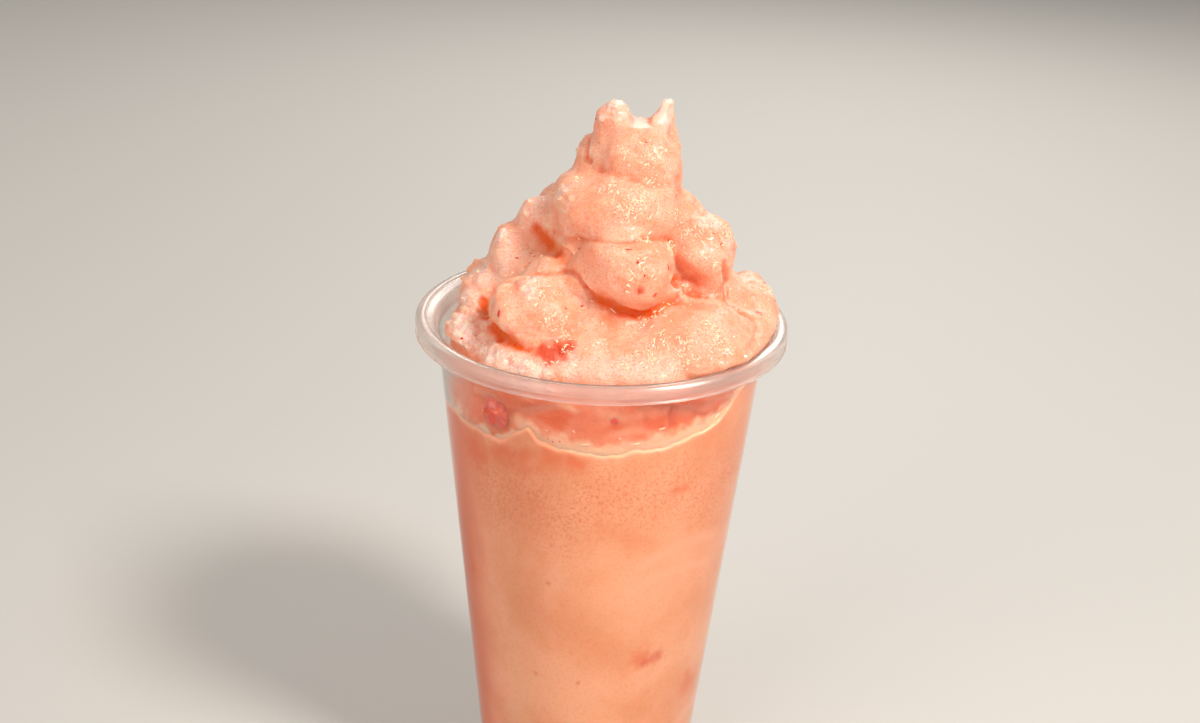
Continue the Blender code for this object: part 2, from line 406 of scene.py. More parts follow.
def makeDrinkMaterial(iceGrain):
    material, tree, shader = startMaterial("drinkAtWall")
    mottle, grain, bubbles = placeGrain(tree, iceGrain, blend["drinkGrain"])
    colour = mixColours(tree, mottle, blend["side"], blend["sideLight"])
    speckled = painted(tree, "speckled")
    speckle = combine(tree, "MULTIPLY", remap(tree, grain, 0.45, 0.7, 0.0, blend["speckle"]), speckled)
    colour = mixColours(tree, speckle, colour, blend["sideGrain"])
    colour = mixColours(tree, painted(tree, "wisp"), colour, blend["wisp"])
    holes = combine(tree, "MULTIPLY", combine(tree, "MULTIPLY", bubbles, speckled), blend["holes"])
    colour = mixColours(tree, holes, colour, blend["deep"])
    # deepen holds darker patches and the painted shade at the left
    for mask, shade in (("deepen", "sideDeep"), ("berry", "berry"), ("cream", "cream")):
        colour = mixColours(tree, painted(tree, mask), colour, blend[shade])
    tree.links.new(colour, shader.inputs["Base Color"])
    shader.inputs["Roughness"].default_value = 0.4
    setBump(tree, shader, grain, 0.15, blend["drinkRelief"])
    setInside(shader, blend["wallReach"])
    return material


def makeWet(name, colour, dark, roughness, reach=None):
    # Strawberry, seeds and shards: wet, with a fine variation, and with light inside where a reach is given
    material, tree, shader = startMaterial(name)
    where = addNode(tree, "ShaderNodeTexCoord").outputs["Object"]
    patches = noiseIn(tree, where, 500.0, 4.0).outputs["Fac"]
    varied = mixColours(tree, remap(tree, patches, 0.35, 0.65), dark, colour)
    tree.links.new(varied, shader.inputs["Base Color"])
    setBump(tree, shader, patches, 0.4, 0.3 * mm)
    shader.inputs["Roughness"].default_value = roughness
    shader.inputs["Coat Weight"].default_value = 0.5
    shader.inputs["Coat Roughness"].default_value = 0.1
    if reach:
        setInside(shader, reach)
    return material


# The cup: one thin wall turned from its outline
rimProfile = [  # from inside to outside and under again: mm in from the edge, mm below the top, and rounding
    (3.1, 0.75, 0.3), (2.8, 0.85, 0.25), (2.4, 0.15, 0.3), (1.6, 0, 0.9), (0.25, 0.45, 1.2), (0, 2, 0.6),
    (0.1, 2.7, 0.2), (0.35, 2.9, 0.2), (0.3, 3.9, 0.2), (0, 4.1, 0.15), (0.05, 4.5, 0.2), (0.75, 4.5, 0.25),
    (0.75, 2, 0.8), (1.5, 0.85, 0.8), (2.2, 0.95, 0.3),
]


def rounded(corners, steps=4):
    # Corners are (radius, height, rounding); each is cut back by its rounding along a soft curve
    outline = []
    for i, (x, z, cut) in enumerate(corners):
        here = Vector((x, z))
        if not cut:
            outline.append(here)
            continue
        before = Vector(corners[i - 1][:2]) - here
        after = Vector(corners[i + 1][:2]) - here
        start = here + before.normalized() * min(cut, before.length * 0.48)
        end = here + after.normalized() * min(cut, after.length * 0.48)
        for step in range(steps + 1):
            t = step / steps
            outline.append(start * (1 - t) ** 2 + here * 2 * t * (1 - t) + end * t * t)
    return outline


def cupOutline():
    top, floor, thick = rimTop, cup["floor"], cup["thickness"]
    ring, foot = top - cup["ringDrop"], wallOuter(0)
    flange = (cup["flangeRadius"], top - cup["flangeDrop"])
    levels = [top * share for share in (0.2, 0.4, 0.6, 0.8)]
    step = [(ring - 1.2 * mm, 1 * mm), (ring + 0.5 * mm, 1 * mm)]  # the stacking ring, with its roundings
    inner = [(0, floor, 0), (wallInner(floor), floor, 2 * mm)]
    inner += [(wallInner(z), z, 0) for z in levels]
    inner += [(wallInner(z), z, cut) for z, cut in step + [(top - 4 * mm, 1 * mm)]]
    inner += [(flange[0] - 0.7 * mm, flange[1] - 0.8 * mm, 0.3 * mm), (*flange, 0.5 * mm)]
    rim = [(rimRadius - inward * mm, top - drop * mm, cut * mm) for inward, drop, cut in rimProfile]
    rim += [(flange[0] + 0.3 * mm, flange[1] - thick, 0.4 * mm)]
    outer = [(wallOuter(z), z, cut) for z, cut in [(top - 4 * mm, 0.8 * mm)] + step[::-1]]
    outer += [(wallOuter(z), z, 0) for z in levels[::-1]]
    outer += [(foot, 0, 0.9 * mm), (foot - 2.4 * mm, 0, 0.6 * mm)]
    outer += [(foot - 3.2 * mm, cup["recess"], 0.8 * mm), (0, cup["recess"], 0)]
    return rounded(inner + rim + outer)


def buildCup():
    print("cup: turning the wall and its rim")
    outline = cupOutline()
    shape = bmesh.new()
    verts = [shape.verts.new((p[0], 0, p[1])) for p in outline]
    for first, second in zip(verts, verts[1:]):
        shape.edges.new((first, second))
    profile = verts + list(shape.edges)
    bmesh.ops.spin(shape, geom=profile, cent=(0, 0, 0), axis=(0, 0, 1), angle=math.tau, steps=cup["segments"])
    bmesh.ops.remove_doubles(shape, verts=shape.verts, dist=0.005 * mm)
    bmesh.ops.recalc_face_normals(shape, faces=shape.faces)
    mesh = meshOf(shape, "cupMesh")
    finishes = []
    for name, part in (("clearWall", "wall"), ("milkyRim", "rim")):
        settings = [plastic[part + setting] for setting in ("Colour", "Roughness", "Clear", "Flow")]
        finishes.append(makePlastic(name, *settings))
    piece = newPiece("cup_shell", mesh, finishes)
    for face in mesh.polygons:
        milky = face.center.z > rimTop - cup["skirt"] - 0.5 * mm or face.center.z < cup["floor"] - 0.3 * mm
        face.material_index = int(milky)
    standFor(piece, "cup")


# The drink against the wall: degrees from the shown side, to the right, and depth below the rim in mm
contact = [
    (-180, 19.4), (-162, 20.8), (-146, 18.9), (-128, 20.6), (-112, 21.8), (-96, 20.9), (-84, 22.0),
    (-75, 21.6), (-62, 20.4), (-55, 21.3), (-45, 21.2), (-38, 21.5), (-34, 20.9), (-30, 18.4), (-24, 15.9),
    (-21, 18.4), (-15, 19.7), (-8, 20.4), (1, 20.7), (8, 21.0), (13.5, 20.0), (22, 19.7), (30, 19.1),
    (37, 17.7), (45, 16.5), (51, 14.2), (56, 10.5), (62, 7.5), (72, 5.8), (90, 5.4), (108, 6.6),
    (120, 11.0), (132, 16.5), (148, 18.8), (164, 20.1), (180, 19.4),
]
drink = {
    "columns": 384,
    "rows": 168,
    "intoWall": 0.25 * mm,
    "lip": 0.6 * mm,
    "lipCurve": ((0.18, 0.7), (0.6, 1.0), (1.6, 1.1), (3.4, 1.6)),  # mm inward, and rise in lips
    "corner": ((0.4, 0, 0), (0.8, 0, 0), (1, 2, 0), (1, 0.6, 0.6)),  # share of radius, mm inward, mm up
    "bottomRounding": 2 * mm,
    "speckledDrop": 35,  # mm below the rim, where it is most speckled
    "wobble": ((0.22, 0.31, 1), (0.16, 0.83, 0), (0.1, 1.9, 2)),  # mm, waves in each degree, and start
    # leftShade: how much painted shade the left side gets
    "leftShade": 0.85,
    "topShade": 0.12,
}
stains = {  # what shows through the wall, as pixel x, pixel y and radius in mm
    "berry": [(548.5, 582.6, 0.7), (656, 656, 2.2), (645, 662, 1.6), (578, 682, 0.8), (536, 673, 0.7),
              (551.8, 545, 0.5), (514.5, 453, 0.45), (700, 700, 1.2)],
    # deepen: a smear, and deeper patches under the line and at the left
    "deepen": [(676, 490, 1.6), (684, 488, 1.6), (455, 435, 6.0), (478, 450, 5), (502, 452, 5.0),
               (525, 458, 5.0), (550, 456, 4.5), (575, 462, 3.5), (640, 658, 3.5), (688, 680, 5.0),
               (470, 560, 4)],
}
wispPaths = [  # half width in mm, strength, then the pixels that it runs through
    (2.6, 0.45, [(697, 690), (690, 702), (683, 712), (676, 722)]),
    (1.8, 0.45, [(640, 566), (664, 552), (690, 540), (716, 531)]),
    (1.4, 0.4, [(628, 590), (655, 577), (684, 566), (706, 561)]),
    (2.2, 0.35, [(470, 470), (476, 500), (486, 540), (492, 580)]),
    (1.2, 0.5, [(519, 459), (528, 462), (538, 461), (545, 458)]),
]


def contactHeight(places):
    # Height of the line that the drink makes on the wall
    azimuth = azimuthOf(places)
    drops = np.interp(azimuth, [a for a, _ in contact], [d for _, d in contact])
    wobble = sum(high * np.sin(azimuth * often + start) for high, often, start in drink["wobble"])
    return rimTop - (drops + wobble) * mm


def wallHit(px, py):
    # Where a photograph pixel looks onto the drink at the wall
    place, way = pixelRay(px, py)
    radius = wallInner(rimTop - 30 * mm)
    here = place
    for _ in range(12):
        a = way.x ** 2 + way.y ** 2
        b = 2 * (place.x * way.x + place.y * way.y)
        c = place.x ** 2 + place.y ** 2 - radius ** 2
        root = b * b - 4 * a * c
        if root < 0:
            return None
        here = place + way * ((-b - math.sqrt(root)) / (2 * a))
        radius = wallInner(here.z) + drink["intoWall"]
    return here


def spotMask(places, spots, hit, edge=0.5):
    # 1 inside each spot, which is (pixel x, pixel y, radius in mm), fading at its uneven edge
    mask = np.zeros(len(places))
    for px, py, radius in spots:
        centre = hit(px, py)
        if centre is None:
            continue
        away = np.linalg.norm(places - np.array(centre), axis=1) / mm
        near = np.where(away < radius * 1.6)[0]
        away[near] += noiseAt(places[near], radius * 0.5) * radius * 0.5
        mask = np.maximum(mask, 1 - smoothstep(away, radius * (1 - edge), radius * (1 + edge * 0.4)))
    return mask


def paintDrink(mesh, places):
    # Speckles in a band, wisps, stains, the cream at the line, painted shade at the left, and a deeper colour
    # towards the top
    above = (places[:, 2] - contactHeight(places)) / mm
    depth = (rimTop - places[:, 2]) / mm
    azimuth = azimuthOf(places)
    wave = 3 * np.sin(azimuth * 0.08) + 2 * np.sin(azimuth * 0.21 + 1)
    paint(mesh, "speckled", 0.3 + 0.7 * np.exp(-(((depth + wave - drink["speckledDrop"]) / 9) ** 2)))
    wisps = np.zeros(len(places))
    for width, strength, path in wispPaths:
        wisps = np.maximum(wisps, creaseMask(places, wallHit, width, path) * strength)
    paint(mesh, "wisp", wisps)
    inward = (np.array([wallInner(z) for z in places[:, 2]]) - np.hypot(places[:, 0], places[:, 1])) / mm
    paint(mesh, "cream", smoothstep(above, -1.5, -0.9) * (1 - smoothstep(inward, 0.2, 1.4)) * 0.75)
    paint(mesh, "berry", spotMask(places, stains["berry"], wallHit, 0.9) * 0.55)
    deep = spotMask(places, stains["deepen"], wallHit, 1.0) * 0.6
    # Painted shade down the left side, which lies away from the light
    deep += between(-azimuth, 38, 68, 95, 150) * drink["leftShade"]
    deep += (1 - smoothstep(depth, 30, 75)) * drink["topShade"]
    paint(mesh, "deepen", np.clip(deep, 0, 0.9))


def buildDrink(iceGrain):
    print("drink: filling the cup up to its uneven line")
    columns, rows = drink["columns"], drink["rows"]
    floor = cup["floor"] - drink["intoWall"]
    turns = np.arange(columns) * math.tau / columns
    dx, dy = np.sin(turns), -np.cos(turns)
    line = contactHeight(np.stack([dx, dy], axis=1))
    corner = wallInner(floor) + drink["intoWall"]
    rings = []
    for share, inward, rise in drink["corner"]:
        rings.append((np.full(columns, corner * share - inward * mm), np.full(columns, floor + rise * mm)))
    bottom = floor + drink["bottomRounding"]
    for i in range(rows):
        z = bottom + (line - drink["lip"] - bottom) * i / (rows - 1)
        reach = np.array([wallInner(v) for v in z]) + drink["intoWall"]
        rings.append((reach, z))
    edge = rings[-1][0]
    for inward, rise in drink["lipCurve"]:
        rings.append((edge - inward * mm, line - drink["lip"] + rise * drink["lip"]))
    rings.append((edge * 0.5, np.full(columns, rimTop - 14 * mm)))
    count = len(rings)
    places = np.concatenate([np.stack([r * dx, r * dy, z], axis=1) for r, z in rings])
    places = np.concatenate([places, [[0, 0, floor], [0, 0, rimTop - 12 * mm]]])
    faces = []
    for ring in range(count - 1):
        for col in range(columns):
            a, b = ring * columns + col, ring * columns + (col + 1) % columns
            faces.append((a, b, b + columns, a + columns))
    under, over = count * columns, count * columns + 1
    top = (count - 1) * columns
    for col in range(columns):
        after = (col + 1) % columns
        faces.append((after, col, under))
        faces.append((top + col, top + after, over))
    mesh = bpy.data.meshes.new("drinkMesh")
    mesh.from_pydata(places.tolist(), [], faces)
    mesh.update()
    paintDrink(mesh, places)
    standFor(newPiece("drink_at_wall", mesh, [makeDrinkMaterial(iceGrain)]), "smoothie")



# The heap: folds of blended ice above the line
heap = {
    "cutDrop": 30 * mm,
    "voxel": 0.43 * mm,
    "softening": 4,
    "ripples": ((6.0, 0.3), (2.6, 0.22)),  # sizes and heights in mm
    "grains": ((2.1, 0.19), (1.1, 0.2)),  # the same, and about twice that where it is frosty
    "notch": (634, 651, 50 * mm),  # between the tips: from and to in pixels, and its floor above the rim
    "leftTipDrop": 1.1 * mm,
    "crumbSize": (0.45, 1.25),  # mm
    "crumbsEach": 5.5,  # for each square mm of pixels' spread
    "clearance": 0.2 * mm,
    "flange": ((0.75, 1.5, 2.3, 4.0), (44.4, 42.9, 42.2, 41.55)),  # inside, drops and radii in mm
    "kept": 0.56,  # share of the skin's faces that stay
    "atRim": 0.8,  # mm that it swells there, to lie against the plastic
    "leftSide": (38, 58, 118, 150),  # degrees between which it begins and ends to stand clear of the wall
    "leftGap": ((0, 3, 8, 20), (0.4, 1.2, 2.2, 3.0)),  # mm above the line, and mm off the wall there
    "filmSide": (-32, -18, 44, 56),  # degrees to the right, where the cream climbs higher above the line
    "filmStart": (0.3, 1.7),  # mm above the line, and how much higher the film lifts it
    "filmEnd": (1.4, 2.6),
    "filmRagged": 2.24,  # mm
    "tipIce": (46 * mm, 56 * mm, 0.3),  # above the rim, where it begins and is full, and how much
}
heapSpots = {  # places on the heap, as pixel x, pixel y and radius in mm
    "crumb": [(458, 320, 2.6), (465, 331, 3.4), (473, 344, 3.6), (486, 353, 3.6), (499, 361, 3.4),
              (513, 366, 3.2), (528, 373, 2.8), (544, 378, 2.4), (562, 192, 2.6), (703, 221, 2.8),
              (716, 224, 2.0), (730, 243, 2.2), (682, 290, 1.3), (500, 233, 2.6), (520, 205, 2.4),
              (470, 275, 2.6), (462, 300, 2.4), (482, 268, 2.2), (530, 290, 2.6), (612, 102, 2.0),
              (602, 116, 1.4), (575, 150, 1.4), (770, 292, 1.6)],
    "berry": [(497, 420, 1.6), (556, 350, 3.9), (546, 352, 3.0), (567, 346, 2.6), (553, 357, 2.6),
              (498.6, 313.7, 0.7), (758, 313, 1.0), (640, 290.6, 1.2), (655, 295, 0.6), (614.5, 421, 1.0)],
    # paler: lighter patches, partly painted light on parts that lie in shade
    "paler": [(575, 368, 6), (605, 372, 7), (640, 374, 7), (668, 370, 4), (540, 372, 4), (485, 275, 6),
              (470, 295, 5), (505, 245, 6), (532, 214, 6), (505, 265, 5), (468, 335, 5), (490, 355, 5),
              (515, 365, 5), (455, 320, 4)],
    "ice": [(665, 106, 3.4), (665, 118, 2.8), (620, 102, 1.6), (630, 112, 1.2)],
    # deep: painted shade in the hollows, also round the lump
    "deep": [(484, 304, 1.8), (487, 316, 2.0), (494, 329, 2.2), (503, 339, 2.2), (519, 346, 1.6),
             (675, 278, 1.6), (680, 283, 1.6), (622, 311, 2.0), (636, 316, 2.2), (652, 313, 1.6),
             (604, 304, 1.8), (545, 238, 2.0), (551, 246, 2.4), (560, 255, 2.0), (612, 320, 3.0),
             (537, 229, 1.6), (672, 240, 1.2), (478, 405, 2.6), (488, 410, 3.4), (497, 420, 3.4)],
}
# Pale smears where the blend is pressed against the wall, in the terms of the wisps
smearPaths = [
    (0.9, 0.7, [(560, 404), (570, 407), (578, 412)]),
    (1.2, 0.45, [(598, 410), (622, 417), (642, 415)]),
    (1.8, 0.7, [(520, 442), (523, 428), (519, 416)]),
    (1.4, 0.55, [(696, 432), (714, 422), (728, 412), (735, 402)]),
    (1.0, 0.4, [(610, 433), (640, 430), (660, 434)]),
]
# Hollows between the folds and, with a minus, places that swell: depth and half width in mm and how much
# painted shade its colour gets, then the pixels that each runs through
creases = {
    "shelfLine": (0.6, 0.9, 0.55, [(553, 232), (566, 237), (585, 240), (609, 242), (630, 242), (642, 238),
                                   (669, 239)]),
    "leftTrough": (0.9, 2.2, 0.9, [(537, 229), (544, 238), (551, 245), (559, 254), (567, 262)]),
    "underTongue": (1.1, 1.2, 0.8, [(589, 286), (594, 297), (603, 302), (612, 306), (622, 311), (637, 315),
                                    (648, 314), (656, 311), (666, 303), (682, 297)]),
    "besideTongue": (1.6, 1.3, 1.0, [(672, 270), (673, 277), (677, 284)]),
    "hollowRight": (0.6, 2.8, 0.25, [(679, 277), (687, 282), (695, 287)]),
    "underHollow": (0.6, 0.9, 0.7, [(684, 292), (696, 294), (708, 297)]),
    "overLeftFront": (0.9, 1.1, 0.3, [(491, 294), (500, 287), (508, 282), (520, 278), (534, 276),
                                      (560, 272), (572, 271), (581, 276), (587, 287)]),
    "leftOfLeftFront": (1.6, 1.5, 1.0, [(482, 300), (486, 312), (490, 322), (497, 331), (506, 340),
                                        (516, 345), (530, 348)]),
    "overRightFront": (0.7, 1.0, 0.25, [(678, 302), (700, 302), (717, 303), (730, 307), (751, 317),
                                        (757, 328), (755, 340), (746, 352)]),
    "besideRight": (1.1, 1.1, 0.5, [(725, 264), (726, 280), (726, 302)]),
    "behindFlap": (0.9, 1.0, 0.7, [(588, 137), (586, 147), (586, 158), (592, 162)]),
    "underTip": (0.5, 1.2, 0.4, [(600, 170), (615, 174), (632, 178), (650, 184), (672, 184)]),
    "neck": (1.4, 3.4, 0.1, [(681, 183), (681, 189), (680, 193)]),
    "tipSide": (1.7, 2.8, 0.0, [(673, 113), (674, 124), (675, 136)]),
    "behindWall": (1.0, 1.0, 0.4, [(673, 408), (671, 418), (672, 428)]),
    "besideLump": (1.3, 4.2, 0.3, [(484, 409), (491, 415), (498, 421)]),
    "leftOfTongue": (-2.0, 3.2, 0.0, [(572, 246), (579, 260), (586, 274), (590, 284)]),
    "shelf": (-1.0, 2.6, 0.0, [(590, 252), (612, 254), (636, 252), (655, 250)]),
    "rightShelf": (-1.5, 3.6, 0.0, [(672, 248), (681, 253), (690, 259)]),
    "leftFrontTop": (-1.4, 2.4, 0.0, [(506, 291), (520, 286), (538, 282), (558, 281), (574, 283)]),
    "leftFrontSide": (-1.5, 2.4, 0.0, [(502, 298), (501, 310), (505, 322)]),
}


def edgesOf(mesh):
    flat = np.empty(len(mesh.edges) * 2, dtype=np.int64)
    mesh.edges.foreach_get("vertices", flat)
    return flat.reshape(-1, 2)


def spreadOut(places, links, rounds):
    # Each point moves to the mean of its neighbours, again and again
    count = len(places)
    ends = np.concatenate([links[:, 0], links[:, 1]])
    others = np.concatenate([links[:, 1], links[:, 0]])
    share = np.maximum(np.bincount(ends, minlength=count), 1)
    moved = places.copy()
    for _ in range(rounds):
        sums = [np.bincount(ends, weights=moved[others, k], minlength=count) for k in range(3)]
        moved = np.stack(sums, 1) / share[:, None]
    return moved


def normalsOf(mesh):
    flat = np.empty(len(mesh.vertices) * 3)
    mesh.vertex_normals.foreach_get("vector", flat)
    return flat.reshape(-1, 3)


def heapBlank():
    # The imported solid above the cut, as one fine even skin
    shape = bmesh.new()
    shape.from_mesh(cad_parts["smoothie"].data)
    bmesh.ops.remove_doubles(shape, verts=shape.verts, dist=0.01 * mm)
    everything = list(shape.verts) + list(shape.edges) + list(shape.faces)
    level = (0, 0, rimTop - heap["cutDrop"])
    cut = bmesh.ops.bisect_plane(shape, geom=everything, plane_co=level, plane_no=(0, 0, 1), clear_inner=True)
    border = [g for g in cut["geom_cut"] if isinstance(g, bmesh.types.BMEdge)]
    bmesh.ops.holes_fill(shape, edges=border)
    bmesh.ops.recalc_face_normals(shape, faces=shape.faces)
    addCrumbs(shape)
    blank = bpy.data.objects.new("heapBlank", meshOf(shape, "heapMesh"))
    scene.collection.objects.link(blank)
    skin = blank.modifiers.new("skin", "REMESH")
    skin.mode = "VOXEL"
    skin.voxel_size = heap["voxel"]
    soften = blank.modifiers.new("soften", "SMOOTH")
    soften.iterations = heap["softening"]
    mesh = evaluated(blank)
    bpy.data.objects.remove(blank, do_unlink=True)
    return mesh


def treeOf(mesh):
    return BVHTree.FromPolygons(points(mesh).tolist(), [p.vertices[:] for p in mesh.polygons])


def heapHit(tree):
    def hit(px, py):
        place, way = pixelRay(px, py)
        return tree.ray_cast(place, way)[0]
    return hit


def addCrumbs(shape):
    # Little balls over the crumbly places, which the skin then takes in
    draw = random.Random(3)
    tree = BVHTree.FromBMesh(shape)
    hit = heapHit(tree)
    for px, py, radius in heapSpots["crumb"]:
        for _ in range(int(heap["crumbsEach"] * radius * radius / 2)):
            reach = radius * 4.3 * math.sqrt(draw.random())
            angle = draw.uniform(0, math.tau)
            where = hit(px + reach * math.cos(angle), py + reach * math.sin(angle))
            size = np.interp(draw.random() ** 2, (0, 1), heap["crumbSize"]) * mm
            if where is None:
                continue
            stretch = Matrix.Diagonal([draw.uniform(0.7, 1.3) for _ in range(3)] + [1])
            stand = Matrix.Translation(where) @ stretch
            bmesh.ops.create_icosphere(shape, subdivisions=1, radius=size, matrix=stand)


def creaseMask(places, hit, width, path):
    # 1 along the path on the skin, falling to 0 at its width, and the path's own places
    spots = []
    for (ax, ay), (bx, by) in zip(path, path[1:]):
        steps = max(2, int(math.hypot(bx - ax, by - ay) / 2))
        for i in range(steps):
            spot = hit(ax + (bx - ax) * i / steps, ay + (by - ay) * i / steps)
            if spot is not None:
                spots.append(spot)
    away = np.full(len(places), 1e3)
    for spot in spots:
        away = np.minimum(away, np.linalg.norm(places - np.array(spot), axis=1) / mm)
    return 1 - smoothstep(away, 0, width * 1.6)


def leftOf(places):
    return between(-azimuthOf(places), *heap["leftSide"])


def keepInCup(places):
    # Wide of the wall at the left, elsewhere close to it and over the flange
    left = leftOf(places)
    drop = (rimTop - places[:, 2]) / mm
    above = (places[:, 2] - contactHeight(places)) / mm
    wide = np.interp(above, *heap["leftGap"]) * mm
    gap = wide * left + heap["clearance"] * (1 - left)
    wall = np.array([wallInner(z) for z in places[:, 2]])
    flange = np.interp(drop, *heap["flange"]) * mm
    most = np.where(drop < 4, flange, wall) - gap + np.maximum(0.75 - drop, 0) * 2 * mm
    reach = np.hypot(places[:, 0], places[:, 1])
    share = np.where(reach > most, most / np.maximum(reach, 1e-6), 1)
    places[:, 0] *= share
    places[:, 1] *= share


def pixelsOf(places):
    # The photograph pixel across that each place is seen at
    place, right, _, forward = [np.array(v) for v in cameraAxes()]
    away = places - place
    return (away @ right) / (away @ forward) * photo["focal"] + photo["width"] / 2


def parted(places):
    # The notch that parts the two tips, inside the solid's own height
    start, end, floor = heap["notch"]
    floor += rimTop
    across = pixelsOf(places)
    inside = between(across, start - 8, start + 1, end - 1, end + 2)
    left = 1 - smoothstep(across, start - 2, start + 1)
    places[:, 2] -= np.maximum(places[:, 2] - floor, 0) * inside * 0.9
    places[:, 2] -= smoothstep(places[:, 2], floor, floor + 6 * mm) * left * heap["leftTipDrop"]
    places[:, 2] = np.minimum(places[:, 2], cadBox[1][2] - 0.1 * mm)


def grainsAt(places, size):
    # Rounded grains with sharp valleys between them
    nearest = np.array([noise.voronoi(Vector(p) / (size * mm))[0][0] for p in places])
    return 0.22 - nearest ** 2


def shapeHeap(mesh):
    # Creases between the folds, ripples and grains along the normals, all kept inside the cup
    hit = heapHit(treeOf(mesh))
    places, normals = points(mesh), normalsOf(mesh)
    moves = np.zeros(len(places))
    carved = np.zeros(len(places))
    for depth, width, shade, path in creases.values():
        mask = creaseMask(places, hit, width, path)
        moves -= mask * depth
        # carved: the painted shade that each crease's colour gets
        carved = np.maximum(carved, mask ** 2 * shade)
    frosty = spotMask(places, heapSpots["crumb"], hit, 0.8)
    drop = (rimTop - places[:, 2]) / mm
    moves += np.exp(-((drop - 1) / 2.5) ** 2) * heap["atRim"] * (1 - leftOf(places))
    for size, height in heap["ripples"]:
        moves += noiseAt(places, size) * height
    for size, height in heap["grains"]:
        moves += grainsAt(places, size) * height * (1 + 1.2 * frosty)
    places = places + normals * moves[:, None] * mm
    parted(places)
    keepInCup(places)
    mesh.vertices.foreach_set("co", places.ravel())
    mesh.update()
    return carved, frosty


def paintHeap(mesh, carved, frosty):
    hit = heapHit(treeOf(mesh))
    places, normals, links = points(mesh), normalsOf(mesh), edgesOf(mesh)
    # Painted shade: deeper in hollows at two sizes, less where it is frosty, and along the carved creases and
    # the deep spots
    hollow = np.sum((spreadOut(places, links, 130) - places) * normals, axis=1) / mm
    small = np.sum((spreadOut(places, links, 12) - places) * normals, axis=1) / mm
    creaseShade = (smoothstep(hollow, 0.3, 3.0) * 0.45 + smoothstep(small, 0.05, 0.4) * 0.2) * (1 - 0.7 * frosty)
    creaseShade += carved * 0.6
    creaseShade += spotMask(places, heapSpots["deep"], hit, 1.0) * 0.6
    paint(mesh, "creaseShade", np.clip(creaseShade, 0, 1))
    # Painted shade below the rim, in paler and darker streaks
    inCupShade = 1 - smoothstep(places[:, 2], rimTop - 7 * mm, rimTop - 1 * mm)
    smears = noiseAt(places * (1, 1, 2.2), 6)
    paint(mesh, "inCupShade", inCupShade * (0.55 + 0.45 * smoothstep(smears, -0.35, 0.3)))
    above = (places[:, 2] - contactHeight(places)) / mm
    film = between(azimuthOf(places), *heap["filmSide"])
    starts, ends = [low + more * film for low, more in (heap["filmStart"], heap["filmEnd"])]
    cream = (1 - smoothstep(above + noiseAt(places, 2.4) * heap["filmRagged"], starts, ends)) * 0.85
    cream *= 1 - smoothstep(noiseAt(places, 1.2), 0.15, 0.4) * smoothstep(above, 1.0, 3.0) * 0.8
    for width, strength, path in smearPaths:
        cream = np.maximum(cream, creaseMask(places, hit, width, path) * strength)
    paint(mesh, "cream", cream)
    # Paler patches and the frost: partly the ice's own paleness, partly painted light lifting crumbly parts in
    # shade
    paler = spotMask(places, heapSpots["paler"], hit, 1.0) * 0.6
    paint(mesh, "frosty", np.clip(frosty * 0.9 + paler, 0, 1))
    low, high, share = heap["tipIce"]
    tips = smoothstep(places[:, 2], rimTop + low, rimTop + high) * share
    paint(mesh, "ice", np.clip(np.maximum(spotMask(places, heapSpots["ice"], hit, 0.9) * 0.9, tips), 0, 1))
    paint(mesh, "berry", spotMask(places, heapSpots["berry"], hit, 0.75))


def buildHeap(iceGrain):
    print("heap: skinning, rippling and painting")
    mesh = heapBlank()
    paintHeap(mesh, *shapeHeap(mesh))
    piece = newPiece("heap_of_blended_ice", mesh, [makeHeapMaterial(iceGrain)])
    thin = piece.modifiers.new("thin", "DECIMATE")
    thin.ratio = heap["kept"]
    piece.data = evaluated(piece)
    piece.modifiers.clear()
    print("heap:", len(piece.data.polygons), "faces")
    standFor(piece, "smoothie")
    return piece, treeOf(piece.data)


# Shards and grains of ice on the heap, pale and put where the light falls: painted glints
ice = {
    "count": 1150,
    "seed": 11,
    "length": (0.6, 2.2),  # mm
    "width": (0.26, 0.46),
    "everywhere": 0.02,  # share of a cluster's density
    # Painted glints: the shards lie where the heap faces the key light, so their pale colour reads as glints
    "lit": (0.48, -0.4, 0.78),  # they lie where the heap faces this way
    # colour: a warm white that stands for the highlights of the glints
    "colour": tint(255, 240, 206),
    "shade": tint(255, 228, 188),
    "clusters": [(618, 155, 2.0), (650, 156, 2.2), (650, 177, 1.8), (607, 189, 2.0), (631, 207, 3.2),
                 (625, 217, 2.0), (640, 200, 2.4), (577, 179, 1.6), (645, 240, 1.8), (669, 247, 1.8),
                 (684, 235, 2.0), (694, 252, 1.5), (702, 231, 2.2), (643, 262, 1.4), (653, 277, 1.6),
                 (713, 267, 1.6), (630, 281, 1.4), (684, 289, 1.4), (677, 218, 1.8), (550, 319, 2.2),
                 (562, 327, 2.2), (566, 349, 1.3), (517, 372, 1.8), (536, 376, 2.0), (556, 367, 1.8),
                 (667, 304, 1.4), (649, 321, 2.2), (662, 342, 2.6), (686, 347, 2.6), (711, 329, 2.6),
                 (722, 345, 2.4), (649, 356, 2.6), (684, 364, 2.6), (625, 366, 2.2), (600, 345, 1.8),
                 (540, 300, 2.2), (520, 225, 1.8), (500, 250, 1.6), (560, 200, 1.8), (725, 235, 1.8),
                 (765, 290, 1.6)],
}


